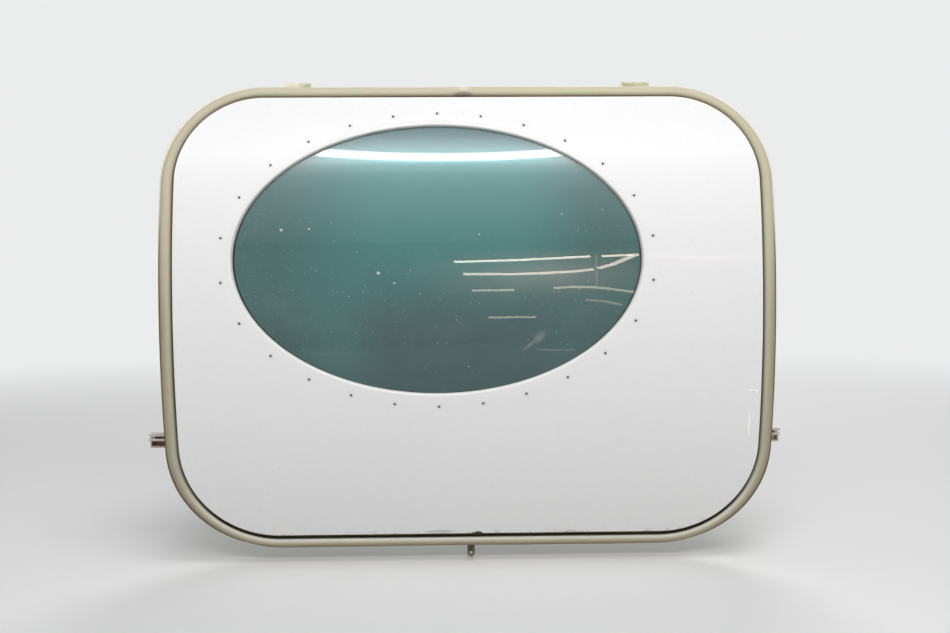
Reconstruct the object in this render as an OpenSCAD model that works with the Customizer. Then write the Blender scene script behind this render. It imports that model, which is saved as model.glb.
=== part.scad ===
// Removable cabin hatch with an oval window: curved skin, edge frames, bulb seal, glazing, hooks and latch.
// X runs along the hatch, -Y points out of the cabin, Z is up. Sizes are in millimetres.

/* [Skin] */
// width of the outer skin
skin_width = 680; // [660:5:700]
// height of the outer skin
skin_height = 522; // [516:2:540]
// radius of the curve of the outer face
hull_radius = 800; // [780:10:900]
// radius of the upper corners
corner_top = 100; // [92:2:108]
// radius of the lower corners
corner_bottom = 111; // [100:1:114]
// thickness of the skin
skin_t = 1.3; // [1.2:0.1:1.6]

/* [Window] */
// width of the clear oval
window_width = 474; // [460:2:478]
// height of the clear oval
window_height = 313; // [300:1:314]
// sideways place of the oval
window_x = -36; // [-40:1:-32]
// width of the bevelled lip round the oval
lip_width = 4.8; // [4:0.2:5]
// thickness of the outer pane
outer_pane_t = 6.3; // [5:0.1:7]
// thickness of the inner pane
inner_pane_t = 3.2; // [2.6:0.1:3.6]
// air space between the panes
pane_space = 8; // [6:0.5:9]
// number of rivets round the oval
window_rivet_count = 26; // [20:1:28]
// number of retainer screws
retainer_screw_count = 20; // [16:1:24]

/* [Seal] */
// height of the bulb
bulb_d = 11.6; // [11:0.2:12.2]
// width of the bulb
bulb_w = 13.8; // [13.4:0.2:14.2]
// gap between the skin and the bulb
bulb_gap = 2.8; // [2.6:0.2:3.2]
// drop of the seal and its land below the skin's middle
seal_drop = 2.2; // [1.6:0.2:2.4]
// extra width of the land at the sides
land_side = 3.4; // [2:0.2:4]

/* [Latch] */
// reach of the left nose past the seal
left_reach = 28; // [24:1:30]
// reach of the right nose past the seal
right_reach = 20; // [18:1:26]
// radius of the crank pins' circle
crank_r = 30; // [29:0.5:31]
// half of the handle's turn, in degrees
half_turn = 28; // [24:1:28]
// length of the handle from its axis
handle_length = 112; // [100:2:124]
// height of a nose
nose_height = 19; // [18:0.5:20]

/* [Hooks and lug] */
// distance of the hooks from the middle
hook_x = 204; // [190:2:206]
// width of a hook at its foot
hook_width = 43; // [38:1:46]
// reach of the hooks above the skin's edge
hook_reach = 22; // [20:1:26]
// reach of the lug below the skin's edge
lug_reach = 36; // [30:1:40]
// radius of the eye in the lug
lug_eye_r = 2; // [1.6:0.1:2.4]

/* [Hidden] */
$fn = 48;
R = hull_radius;
hx = skin_width / 2;
hz = skin_height / 2;
oa = window_width / 2;
ob = window_height / 2;
window_z = hz - ob - 35;
// sealant between faying sheets
fay = 0.2;
// clearance of a fastener in its hole
fit = 0.05;
sheet = 1.6;

// depths behind the outer face
d_flange = skin_t + fay;
d_window = d_flange + 2;
d_edge = d_flange + sheet;
d_bulb = 3;
bulb_c = d_bulb + bulb_d / 2;
d_land = d_bulb + bulb_d + fay;
d_chan = d_land + sheet + fay;
d_back = 54;
d_og = d_window + 0.1;
d_op = d_og + 1.2 + 0.1;
d_sp = d_op + outer_pane_t + 0.1;
d_ip = d_sp + pane_space + 0.1;
d_ig = d_ip + inner_pane_t + 0.1;
d_wall = d_ig + 1;
d_ret = d_wall + fay;
d_head = d_ret + sheet + 0.1;

// offsets from the skin's edge
o_flange = -12.8;
o_web = -4.6;
o_rivet = -8.6;
o_bulb = bulb_gap + bulb_w / 2;
o_land = bulb_gap + bulb_w + 0.2;
// reach of the seal's foot inwards and outwards
foot_in = 4.2;
foot_out = 5.2;
// squarer land corners
land_square = 5;
// sides of the ovals
oval_n = 144;

// offsets from the clear oval
e_cut = lip_width + 0.2;
e_pane = 8.8;
e_wall = 9.2;
e_out = 21.5;
e_rivet = 14.8;
e_screw = 17.6;

// latch layout
beam_z = window_z - ob - 25;
latch_z = beam_z - 35;
low_z = latch_z - 66;
panel_y = R - sqrt(pow(R - 36, 2) - pow(latch_z, 2));
panel_t = 2;
panel_in = panel_y + panel_t;
bar_y = panel_in + 1;
bar_t = 3;
bar_h = 14;
crank_y = bar_y + bar_t + 1;
crank_t = 4;
lever_y = crank_y + crank_t + 19;
lever_t = 10;
pin_r = 3;
slot_r = pin_r + 0.6;
pin_low = crank_r * cos(half_turn);
half_stroke = crank_r * sin(half_turn);
shaft_r = 6;
nose_d = 12;
// how much lower the nose's shank reaches than its end
nose_step = 2.6;
nose_y = bar_y + bar_t / 2 - nose_d / 2;
left_tip = hx + o_land + left_reach;
right_tip = hx + o_land + right_reach;
nose_len = 66;
guide_gap = 0.4;
guide_t = 1.6;
web_x = hx + o_web;
// lowest point of a guide's flange, and how far the frame's wall has curved in there
guide_rim = 2.4;
guide_low = latch_z - nose_height / 2 - guide_gap - guide_t - guide_rim;
wall_r = corner_bottom + o_web;
curve_in = max(0, corner_bottom - hz - guide_low);
guide_dip = wall_r - sqrt(pow(wall_r, 2) - pow(curve_in, 2)) + 0.2;
// a guide's flange, and how far its sleeve reaches into the hatch, at least to the flange, and out of it
guide_flange = 3;
guide_in = max(8, guide_flange + guide_dip);
guide_out = 10;
// reach of the holes for the noses, inwards and outwards
hole_in = max(20, guide_in + 2);
hole_out = 40;
hook_y = R - sqrt(pow(R - d_chan - sheet, 2) - pow(hz + 10, 2)) + 4;
hook_t = 2.6;
foot_d = 20;

// solid between two depths behind the outer face
module shell(d1, d2) {
  translate([0, R, 0]) rotate([0, 90, 0]) difference() {
    cylinder(r = R - d1, h = 900, center = true, $fn = 1440);
    cylinder(r = R - d2, h = 910, center = true, $fn = 1440);
  }
}

// plan outline pushed along Y
module plan(y1 = 130) {
  translate([0, y1, 0]) rotate([90, 0, 0]) linear_extrude(y1 + 10) children();
}

// rounded outline of the hatch at an offset, with its corners made squarer by q and wider by side
module outline(o, q = 0, side = 0) {
  rt = corner_top + o - q;
  rb = corner_bottom + o - q;
  w = hx + o + side;
  h = hz + o;
  translate([-w, -h + rb]) square([2 * w, 2 * h - rt - rb]);
  translate([-w + rt, h - rt - 1]) square([2 * (w - rt), rt + 1]);
  translate([-w + rb, -h]) square([2 * (w - rb), rb + 1]);
  for (s = [-1, 1]) {
    translate([s * (w - rt), h - rt]) circle(r = rt, $fn = 240);
    translate([s * (w - rb), -h + rb]) circle(r = rb, $fn = 240);
  }
}

// oval at an offset
module oval(e) {
  translate([window_x, window_z]) polygon([for (i = [0:oval_n - 1]) oval_pt(-360 * i / oval_n, e)]);
}

module edge_ring(o1, o2, d1, d2) {
  intersection() {
    plan() difference() {
      outline(o2);
      outline(o1);
    }
    shell(d1, d2);
  }
}

module oval_ring(e1, e2, d1, d2) {
  intersection() {
    plan() difference() {
      oval(e2);
      oval(e1);
    }
    shell(d1, d2);
  }
}

// a child drawn along +Z is stood on the skin's normal at (x, z), its origin at depth d
module on_depth(p, d) {
  translate([p[0], R, 0]) rotate([-asin(p[1] / (R - d)), 0, 0]) translate([0, d - R, 0])
    rotate([-90, 0, 0]) children();
}

// a child drawn along +Z is turned along +Y
module along_y(x, y, z) {
  translate([x, y, z]) rotate([-90, 0, 0]) children();
}

// points at equal steps along the hatch outline at an offset: [x, z, nx, nz]
function edge_at(s, o) =
  let (w = hx + o, h = hz + o, rt = corner_top + o, rb = corner_bottom + o,
    a = w - rt, b = a + PI * rt / 2, c = b + 2 * h - rt - rb, d = c + PI * rb / 2, m = d + w - rb)
  s > m ? let (p = edge_at(2 * m - s, o)) [-p[0], p[1], -p[2], p[3]]
  : s <= a ? [s, h, 0, 1]
  : s <= b ? let (t = (s - a) / rt * 180 / PI) [a + rt * sin(t), h - rt + rt * cos(t), sin(t), cos(t)]
  : s <= c ? [w, h - rt - (s - b), 1, 0]
  : s <= d ? let (t = (s - c) / rb * 180 / PI) [w - rb + rb * cos(t), -h + rb - rb * sin(t), cos(t), -sin(t)]
  : [w - rb - (s - d), -h, 0, -1];
function edge_len(o) =
  let (w = hx + o, h = hz + o, rt = corner_top + o, rb = corner_bottom + o)
  2 * (w - rt + PI * rt / 2 + 2 * h - rt - rb + PI * rb / 2 + w - rb);
function edge_points(n, o) = [for (i = [0:n - 1]) edge_at((i + 0.5) * edge_len(o) / n, o)];

// points at equal steps along the oval at an offset, the first at its top
function oval_pt(t, e) = [(oa + e) * sin(t), (ob + e) * cos(t)];
function oval_table(e) = [for (i = 0, s = 0; i <= 360;
  s = s + norm(oval_pt(i + 1, e) - oval_pt(i, e)), i = i + 1) [s, i]];
function oval_points(n, e) =
  let (tab = oval_table(e), len = tab[360][0])
  [for (i = [0:n - 1]) oval_pt(lookup(i * len / n, tab), e) + [window_x, window_z]];

// place of a plan point at a depth
function at_depth(x, z, d) = [x, R - sqrt(pow(R - d, 2) - z * z), z];

// closed sweep of a profile of [offset, depth] points along a ring of [x, z, nx, nz] stations
module sweep(st, prof) {
  n = len(st);
  m = len(prof);
  pts = [for (p = st) for (q = prof) at_depth(p[0] + q[0] * p[2], p[1] + q[0] * p[3], q[1])];
  faces = [for (i = [0:n - 1]) for (j = [0:m - 1])
    let (k = (j + 1) % m, next = ((i + 1) % n) * m, a = i * m + j, b = i * m + k, c = next + k, d = next + j)
    each [[a, b, c], [a, c, d]]];
  polyhedron(pts, faces);
}

// rivet along +Z: flush head, shank and closed tail
module flush_rivet(head_r, head_t, shank_r, grip, tail_r, tail_t) {
  cylinder(r = head_r, h = head_t);
  cylinder(r = shank_r, h = grip + 0.1);
  translate([0, 0, grip + 0.1]) cylinder(r = tail_r, h = tail_t);
}

skin_rivet_n = 60;
chan_rivet_n = 48;

module skin_holes(head, shank) {
  for (p = edge_points(skin_rivet_n, o_rivet)) on_depth(p, 0) {
    translate([0, 0, -5]) cylinder(r = shank, h = 12);
    translate([0, 0, -5]) cylinder(r = head, h = 5 + skin_t + 0.1);
  }
}

module outer_skin() {
  color("white") difference() {
    intersection() {
      plan() difference() {
        outline(0);
        oval(e_cut);
      }
      shell(0, skin_t);
    }
    skin_holes(2.2 + fit, 2.2 + fit);
    for (p = oval_points(window_rivet_count, e_rivet)) on_depth(p, 0)
      translate([0, 0, -5]) cylinder(r = 3 + fit, h = 10);
    for (p = beam_points) on_depth(p, 0) translate([0, 0, -5]) cylinder(r = 2.2 + fit, h = 10);
  }
}

module skin_rivets() {
  color("whitesmoke") for (p = edge_points(skin_rivet_n, o_rivet)) on_depth(p, 0)
    flush_rivet(2.2, skin_t, 1.2, d_edge, 1.8, 1.2);
}

module land_frame() {
  color("olivedrab") difference() {
    union() {
      edge_ring(o_flange, -3, d_flange, d_edge);
      edge_ring(o_web, -3, d_flange, d_land + sheet);
      intersection() {
        plan() difference() {
          translate([0, -seal_drop]) outline(o_land, land_square, land_side);
          outline(o_web);
        }
        shell(d_land, d_land + sheet);
      }
    }
    skin_holes(1.2 + fit, 1.2 + fit);
    for (p = edge_points(chan_rivet_n, 0.6)) on_depth(p, d_land)
      translate([0, 0, -2]) cylinder(r = 1.2 + fit, h = 8);
  }
}

module bulb_seal() {
  n = 18;
  o = o_bulb;
  rt = corner_top + o;
  rb = corner_bottom + o;
  a = hx + o - rt;
  b = a + PI * rt / 2;
  c = b + 2 * (hz + o) - rt - rb;
  d = c + PI * rb / 2;
  e = d + hx + o - rb;
  half = [for (i = [0:3]) a * i / 4, for (i = [0:n - 1]) a + (b - a) * i / n,
    for (i = [0:23]) b + (c - b) * i / 24, for (i = [0:n - 1]) c + (d - c) * i / n,
    for (i = [0:3]) d + (e - d) * i / 4];
  all = [for (s = half) s, for (s = half) e + (s == 0 ? 0 : e - half[len(half) - search(s, half)[0]])];
  r = bulb_d / 2;
  prof = [[-foot_in, bulb_c + r], [-foot_in, bulb_c + r - 1.2], for (t = [220:-20:-40])
    [bulb_w / 2 * cos(t), bulb_c - r * sin(t)], [foot_out, bulb_c + r - 1.2], [foot_out, bulb_c + r]];
  color("tan") sweep([for (s = all) edge_at(s, o) - [0, seal_drop, 0, 0]], prof);
}

module nose_holes(g) {
  for (s = [-1, 1]) guide_box(s > 0 ? web_x - hole_in : -web_x - hole_out, hole_in + hole_out, g);
}

module channel_frame() {
  color("darkkhaki") difference() {
    union() {
      edge_ring(o_web, 7, d_chan, d_chan + sheet);
      edge_ring(o_web, -3, d_chan, d_back + sheet);
      edge_ring(-22, -3, d_back, d_back + sheet);
    }
    for (p = edge_points(chan_rivet_n, 0.6)) on_depth(p, d_land)
      translate([0, 0, -2]) cylinder(r = 1.2 + fit, h = 8);
    nose_holes(guide_gap + guide_t + fit);
    for (x = hook_rivet_x) translate([x, hook_y + 12, hz - 20]) cylinder(r = 2 + fit, h = 30);
    for (x = lug_rivet_x) translate([x, hook_y + 12, -hz - 10]) cylinder(r = 2 + fit, h = 30);
  }
}

module channel_rivets() {
  color("silver") for (p = edge_points(chan_rivet_n, 0.6)) on_depth(p, d_land) {
    translate([0, 0, -1.1]) cylinder(r = 1.9, h = 1);
    translate([0, 0, -1.1]) cylinder(r = 1.2, h = d_chan - d_land + sheet + 1.2);
    translate([0, 0, d_chan - d_land + sheet + 0.1]) cylinder(r = 1.8, h = 1);
  }
}

module window_lip() {
  n = oval_n;
  st = [for (i = [0:n - 1])
    let (t = 360 * i / n, p = oval_pt(t, 0), k = [ob * sin(t), oa * cos(t)])
    [p[0] + window_x, p[1] + window_z, k[0] / norm(k), k[1] / norm(k)]];
  w = lip_width;
  color("ghostwhite") sweep(st, [[0, 2.4], [0, d_window], [w - 0.1, d_window], [w - 0.1, 0.1],
    [w - 0.5, 0.02], [w * 0.55, 0.15], [w * 0.25, 0.7], [w * 0.08, 1.5]]);
}

module window_frame() {
  color("olive") difference() {
    union() {
      oval_ring(e_cut, e_out, d_flange, d_window);
      oval_ring(e_wall, e_wall + 2, d_flange, d_wall);
      oval_ring(e_wall, e_out, d_wall - 2, d_wall);
    }
    for (p = oval_points(window_rivet_count, e_rivet)) on_depth(p, 0) cylinder(r = 1.6 + fit, h = 10);
    for (p = oval_points(retainer_screw_count, e_screw)) on_depth(p, d_wall)
      translate([0, 0, -5]) cylinder(r = 2 + fit, h = 10);
  }
}

module window_rivets() {
  color("whitesmoke") for (p = oval_points(window_rivet_count, e_rivet)) on_depth(p, 0) difference() {
    flush_rivet(3, skin_t, 1.6, d_window, 2.1, 1.4);
    translate([0, 0, -1]) cylinder(r = 1.3, h = 1.9);
  }
}

module outer_gasket() {
  color("dimgray") oval_ring(0.8, e_pane, d_og, d_og + 1.2);
}

module outer_pane() {
  color([0.5, 0.75, 0.72, 0.6]) intersection() {
    plan() oval(e_pane);
    shell(d_op, d_op + outer_pane_t);
  }
}

module pane_spacer() {
  color("gray") oval_ring(1.5, e_pane, d_sp, d_sp + pane_space);
}

module inner_pane() {
  color([0.6, 0.8, 0.78, 0.6]) difference() {
    intersection() {
      plan() oval(e_pane);
      shell(d_ip, d_ip + inner_pane_t);
    }
    on_depth([window_x, window_z - ob + 14], d_ip) translate([0, 0, -3]) cylinder(r = 1, h = 12);
  }
}

module inner_gasket() {
  color("dimgray") oval_ring(0.8, e_pane, d_ig, d_ig + 1);
}

module pane_retainer() {
  color("darkseagreen") difference() {
    oval_ring(0.8, e_out, d_ret, d_ret + sheet);
    for (p = oval_points(retainer_screw_count, e_screw)) on_depth(p, d_wall)
      translate([0, 0, -5]) cylinder(r = 2 + fit, h = 10);
  }
}

module retainer_screws() {
  color("silver") for (p = oval_points(retainer_screw_count, e_screw)) on_depth(p, d_wall) difference() {
    union() {
      translate([0, 0, -5.6]) cylinder(r = 2, h = 5.6 + d_head - d_wall + 1);
      translate([0, 0, d_head - d_wall]) cylinder(r = 3.4, h = 2);
    }
    translate([-2.4, -0.4, d_head - d_wall + 1.2]) cube([4.8, 0.8, 2]);
    translate([-0.4, -2.4, d_head - d_wall + 1.2]) cube([0.8, 4.8, 2]);
  }
}

module anchor_nuts() {
  color("goldenrod") for (p = oval_points(retainer_screw_count, e_screw)) on_depth(p, d_wall) difference() {
    translate([0, 0, -6.2]) cylinder(r = 3.4, h = 4.1);
    translate([0, 0, -8]) cylinder(r = 2 + fit, h = 8);
  }
}

// rivets of the upright and the beams on the skin
up_x = window_x + oa + e_out + 22;
up_top = hz - 30;
beam_l = -hx + 19;
beam_r = up_x - 5;
low_half = 150;
beam_points = [for (i = [0:7]) [up_x + 14, -up_top + 22 + i * (2 * up_top - 44) / 7],
  for (i = [0:9]) [beam_l + 20 + i * (beam_r - beam_l - 40) / 9, beam_z - 12],
  for (i = [0:5]) [-low_half + 16 + i * (2 * low_half - 32) / 5, low_z + 12]];

module upright() {
  color("darkkhaki") difference() {
    union() {
      intersection() {
        plan() translate([up_x, -up_top]) square([22, 2 * up_top]);
        shell(d_flange, d_edge);
      }
      intersection() {
        plan() translate([up_x, -up_top]) square([sheet, 2 * up_top]);
        shell(d_flange, 26);
      }
      intersection() {
        plan() translate([up_x, -up_top]) square([18, 2 * up_top]);
        shell(26 - sheet, 26);
      }
    }
    for (p = beam_points) on_depth(p, 0) cylinder(r = 1.2 + fit, h = 8);
  }
}

// beam along X between the skin and the latch panel: web at z, flanges towards s
module beam(x0, x1, z, s) {
  z0 = s > 0 ? z : z - 20;
  difference() {
    union() {
      intersection() {
        plan() translate([x0, z0]) square([x1 - x0, 20]);
        shell(d_flange, d_edge);
      }
      intersection() {
        translate([x0, 0, s > 0 ? z : z - sheet]) cube([x1 - x0, panel_y - fay, sheet]);
        shell(d_flange, 200);
      }
      translate([x0, panel_y - fay - sheet, s > 0 ? z : z - 15]) cube([x1 - x0, sheet, 15]);
    }
    for (p = beam_points) on_depth(p, 0) cylinder(r = 1.2 + fit, h = 8);
    for (p = panel_points) along_y(p[0], panel_y - 8, p[1]) cylinder(r = 1.6 + fit, h = 12);
  }
}

module upper_beam() {
  color("darkkhaki") beam(beam_l, beam_r, beam_z, -1);
}

module lower_beam() {
  color("darkkhaki") beam(-low_half, low_half, low_z, 1);
}

module beam_rivets() {
  color("whitesmoke") for (p = beam_points) on_depth(p, 0) flush_rivet(2.2, skin_t, 1.2, d_edge, 1.8, 1.2);
}

// latch panel and what stands on it
panel_half = 112;
panel_points = [for (x = [-100, -60, 60, 100]) each [[x, beam_z - 8], [x, low_z + 8]]];
keeper_x = 90;
keeper_points = [for (s = [-1, 1]) each [[s * keeper_x, latch_z + 15], [s * keeper_x, latch_z - 15]]];

module latch_panel() {
  color("lightslategray") difference() {
    translate([-panel_half, panel_y, low_z]) cube([2 * panel_half, panel_t, beam_z - low_z + 4]);
    for (p = panel_points) along_y(p[0], panel_y - 8, p[1]) cylinder(r = 1.6 + fit, h = 12);
    for (p = keeper_points) along_y(p[0], panel_y - 8, p[1]) cylinder(r = 1.6 + fit, h = 12);
    along_y(0, panel_y - 8, latch_z) cylinder(r = 9 + fit, h = 12);
  }
}

module panel_rivets() {
  color("silver") for (p = panel_points) along_y(p[0], panel_y - fay - sheet, p[1]) {
    translate([0, 0, -1.6]) cylinder(r = 2.6, h = 1.5);
    translate([0, 0, -1]) cylinder(r = 1.6, h = sheet + fay + panel_t + 1.1);
    translate([0, 0, sheet + fay + panel_t + 0.1]) cylinder(r = 2.9, h = 0.5);
  }
}

module shaft_bush() {
  color("peru") difference() {
    union() {
      along_y(0, panel_y - 0.5, latch_z) cylinder(r = 9, h = panel_t + 1);
      along_y(0, panel_in + 0.1, latch_z) cylinder(r = 13, h = 3.2);
    }
    along_y(0, panel_y - 5, latch_z) cylinder(r = shaft_r + fit, h = 20);
  }
}

// strap over a bar: two feet, two legs and a bridge
module keeper(x) {
  h = bar_h / 2 + 0.6;
  top = bar_y + bar_t + 0.6;
  difference() {
    translate([x - 8, panel_in + 0.1, latch_z - 20]) cube([16, top + sheet - panel_in - 0.1, 40]);
    translate([x - 9, panel_in, latch_z - h]) cube([18, top - panel_in, 2 * h]);
    for (z = [latch_z + h + sheet, latch_z - h - sheet - 30]) translate([x - 9, panel_in + 0.1 + sheet, z])
      cube([18, 20, 30]);
    for (p = keeper_points) along_y(p[0], panel_in - 2, p[1]) cylinder(r = 1.6 + fit, h = 12);
  }
}

module left_keeper() {
  color("lightsteelblue") keeper(-keeper_x);
}

module right_keeper() {
  color("lightsteelblue") keeper(keeper_x);
}

module keeper_rivets() {
  color("silver") for (p = keeper_points) along_y(p[0], panel_y, p[1]) {
    translate([0, 0, -1.6]) cylinder(r = 2.6, h = 1.5);
    translate([0, 0, -1]) cylinder(r = 1.6, h = panel_t + sheet + 1.3);
    translate([0, 0, panel_t + sheet + 0.2]) cylinder(r = 2.8, h = 1.2);
  }
}

// block round a nose, wider than it by g
module guide_box(x, len, g) {
  translate([x, nose_y - g, latch_z - nose_height / 2 - g]) cube([len, nose_d + 2 * g, nose_height + 2 * g]);
}

// flanged guide in the frame's wall for a nose
module guide(s) {
  x0 = s > 0 ? web_x - guide_in : -web_x - guide_out;
  xf = s > 0 ? web_x - guide_flange - guide_dip : -web_x + guide_dip;
  len = guide_in + guide_out;
  difference() {
    union() {
      guide_box(x0, len, guide_gap + guide_t);
      guide_box(xf, guide_flange, guide_gap + guide_t + guide_rim);
    }
    guide_box(x0 - 1, len + 2, guide_gap);
  }
}

module left_guide() {
  color("ivory") guide(-1);
}

module right_guide() {
  color("ivory") guide(1);
}

// tabs above the upper edge
hook_rivet_x = [-hook_x - 11, -hook_x + 11, hook_x - 11, hook_x + 11];
lug_rivet_x = [-9, 11];

module hook(x) {
  w = hook_width / 2;
  z0 = hz - 3 + fay;
  top = hz + hook_reach;
  difference() {
    union() {
      translate([x, hook_y + hook_t, 0]) rotate([90, 0, 0]) linear_extrude(hook_t)
        polygon([[-w, z0], [w, z0], [w, top - 5.5], [w - 5.8, top], [5.8 - w, top], [-w, top - 5.5]]);
      translate([x - w, hook_y, z0]) cube([2 * w, foot_d, hook_t]);
    }
    for (p = hook_rivet_x) translate([p, hook_y + 12, hz - 20]) cylinder(r = 2 + fit, h = 30);
  }
}

module hook_left() {
  color("yellowgreen") hook(-hook_x);
}

module hook_right() {
  color("yellowgreen") hook(hook_x);
}

module web_rivet(grip) {
  translate([0, 0, -1.7]) cylinder(r = 3.2, h = 1.6);
  translate([0, 0, -1]) cylinder(r = 2, h = grip + 1.2);
  translate([0, 0, grip + 0.1]) cylinder(r = 3.2, h = 1.6);
}

module hook_rivets() {
  color("silver") for (x = hook_rivet_x) translate([x, hook_y + 12, hz + o_web])
    web_rivet(sheet + fay + hook_t);
}

module eye_lug() {
  z0 = -hz + 3 - fay;
  ze = -hz - lug_reach + 4.6;
  difference() {
    union() {
      translate([1 - 4.6, hook_y, ze]) cube([9.2, hook_t, z0 - ze]);
      along_y(1, hook_y, ze) cylinder(r = 4.6, h = hook_t);
      translate([1 - 16, hook_y, z0 - hook_t]) cube([32, foot_d, hook_t]);
    }
    along_y(1, hook_y - 2, ze) cylinder(r = lug_eye_r, h = hook_t + 4);
    for (x = lug_rivet_x) translate([x, hook_y + 12, -hz - 10]) cylinder(r = 2 + fit, h = 30);
  }
}

module lug_rivets() {
  color("silver") for (x = lug_rivet_x) translate([x, hook_y + 12, -hz + 3 - fay - hook_t])
    web_rivet(sheet + fay + hook_t);
}

// handle, shaft and crank, drawn with the noses out
module turned() {
  translate([0, 0, latch_z]) rotate([0, -half_turn, 0]) translate([0, 0, -latch_z]) children();
}

module handle_shaft() {
  color("silver") difference() {
    along_y(0, panel_y - 5, latch_z) cylinder(r = shaft_r, h = lever_y + lever_t - panel_y + 5);
    along_y(0, lever_y - 6, latch_z) cylinder(r = 3 + fit, h = 40);
  }
}

module shaft_collar() {
  color("gray") difference() {
    along_y(0, panel_y - 4.5, latch_z) cylinder(r = 10, h = 3.6);
    along_y(0, panel_y - 9, latch_z) cylinder(r = shaft_r + fit, h = 20);
  }
}

module crank() {
  color("lightslategray") turned() difference() {
    union() {
      along_y(0, crank_y, latch_z) cylinder(r = 14, h = crank_t);
      translate([-9, crank_y, latch_z - crank_r]) cube([18, crank_t, 2 * crank_r]);
      for (s = [-1, 1]) along_y(0, crank_y, latch_z + s * crank_r) cylinder(r = 9, h = crank_t);
      along_y(0, crank_y + crank_t - 1, latch_z) cylinder(r = 11, h = 7);
    }
    along_y(0, crank_y - 2, latch_z) cylinder(r = shaft_r + fit, h = 20);
    for (s = [-1, 1]) along_y(0, crank_y - 2, latch_z + s * crank_r) cylinder(r = pin_r + fit, h = 20);
  }
}

module crank_pins() {
  color("gainsboro") turned() for (s = [-1, 1]) {
    along_y(0, bar_y + 0.2, latch_z + s * crank_r) cylinder(r = pin_r, h = crank_y + crank_t - bar_y);
    along_y(0, crank_y + crank_t + 0.1, latch_z + s * crank_r) cylinder(r = pin_r + 1.4, h = 1.4);
  }
}

module handle_lever() {
  color("firebrick") turned() difference() {
    union() {
      along_y(0, lever_y - 8, latch_z) cylinder(r = 12, h = lever_t + 8);
      along_y(0, lever_y, latch_z) cylinder(r = 16, h = lever_t);
      translate([0, lever_y, latch_z - 10]) cube([handle_length - 10, lever_t, 20]);
      along_y(handle_length - 10, lever_y, latch_z) cylinder(r = 10, h = lever_t);
    }
    along_y(0, lever_y - 12, latch_z) cylinder(r = shaft_r + fit, h = 40);
  }
}

module end_washer() {
  color("gainsboro") difference() {
    along_y(0, lever_y + lever_t + 0.1, latch_z) cylinder(r = 9, h = 1.4);
    along_y(0, lever_y + lever_t - 4, latch_z) cylinder(r = 3 + fit, h = 20);
  }
}

module end_screw() {
  y = lever_y + lever_t + 1.6;
  color("silver") difference() {
    union() {
      along_y(0, lever_y - 4, latch_z) cylinder(r = 3, h = y + 1 - lever_y + 4);
      along_y(0, y, latch_z) cylinder(r = 5.8, h = 4, $fn = 6);
    }
    along_y(0, y + 3, latch_z) cylinder(r = 3, h = 4);
  }
}

// slotted bar, drawn for the left side with its slot at the crank pin
slot_x = -half_stroke;
bar_top = latch_z + crank_r + 8;

module bar_shape(out) {
  zm = latch_z - bar_h / 2;
  x1 = slot_x - 32;
  difference() {
    union() {
      translate([-out, zm]) square([out + x1, bar_h]);
      translate([x1 - 14, zm]) square([14, bar_top - zm]);
      translate([x1 - 14, bar_top - 19]) square([slot_x + 9 - x1 + 14, 19]);
    }
    translate([slot_x, latch_z + pin_low]) circle(r = slot_r);
    translate([slot_x, latch_z + crank_r]) circle(r = slot_r);
    translate([slot_x - slot_r, latch_z + pin_low]) square([2 * slot_r, crank_r - pin_low]);
  }
}

module bar(tip) {
  out = tip - 40;
  difference() {
    translate([0, bar_y + bar_t, 0]) rotate([90, 0, 0]) linear_extrude(bar_t) bar_shape(out);
    for (x = [out - 8, out - 19]) along_y(-x, bar_y - 4, latch_z) cylinder(r = 2 + fit, h = 20);
  }
}

// half turn about the handle's axis
module half_round() {
  translate([0, 0, latch_z]) rotate([0, 180, 0]) translate([0, 0, -latch_z]) children();
}

module left_bar() {
  color("lightgray") bar(left_tip);
}

module right_bar() {
  color("lightgray") half_round() bar(right_tip);
}

// nose, drawn for the left side: fork with a pin over an open channel
module nose(tip) {
  z1 = latch_z + nose_height / 2;
  z0 = latch_z - nose_height / 2;
  difference() {
    translate([-tip, nose_y, z0]) cube([nose_len, nose_d, nose_height]);
    translate([-tip - 1, nose_y - 1, z0 - 1]) cube([2.6, nose_d + 2, nose_height - 8.4 + 1]);
    translate([-tip - 1, nose_y - 1, z0 - 1]) cube([28, nose_d + 2, nose_step + 1]);
    translate([-tip - 1, nose_y - 1, z1 - 5.7]) cube([30, nose_d - 1.6, 2.8]);
    translate([-tip + 3.2, nose_y - 1, z0 + nose_step + 1.8])
      cube([22, nose_d - 1.6, nose_height - 10.3 - nose_step]);
    translate([-tip + 40 - fit, bar_y - fit, latch_z - bar_h / 2 - fit])
      cube([40, bar_t + 2 * fit, bar_h + 2 * fit]);
    for (x = [tip - 48, tip - 59]) along_y(-x, nose_y - 2, latch_z) cylinder(r = 2 + fit, h = 20);
    translate([-tip + 5, nose_y + 3.4, z1 - 9]) cylinder(r = 1.6 + fit, h = 12);
  }
}

module nose_pin(tip) {
  translate([-tip + 5, nose_y + 3.4, latch_z + nose_height / 2 - 8.3]) cylinder(r = 1.6, h = 8.1);
}

module nose_rivets(tip) {
  for (x = [tip - 48, tip - 59]) along_y(-x, nose_y + 0.1, latch_z) cylinder(r = 2, h = nose_d - 0.2);
}

module left_nose() {
  color("silver") nose(left_tip);
}

module left_nose_pin() {
  color("gainsboro") nose_pin(left_tip);
}

module left_nose_rivets() {
  color("gray") nose_rivets(left_tip);
}

module right_nose() {
  color("silver") mirror([1, 0, 0]) nose(right_tip);
}

module right_nose_pin() {
  color("gainsboro") mirror([1, 0, 0]) nose_pin(right_tip);
}

module right_nose_rivets() {
  color("gray") mirror([1, 0, 0]) nose_rivets(right_tip);
}

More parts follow.
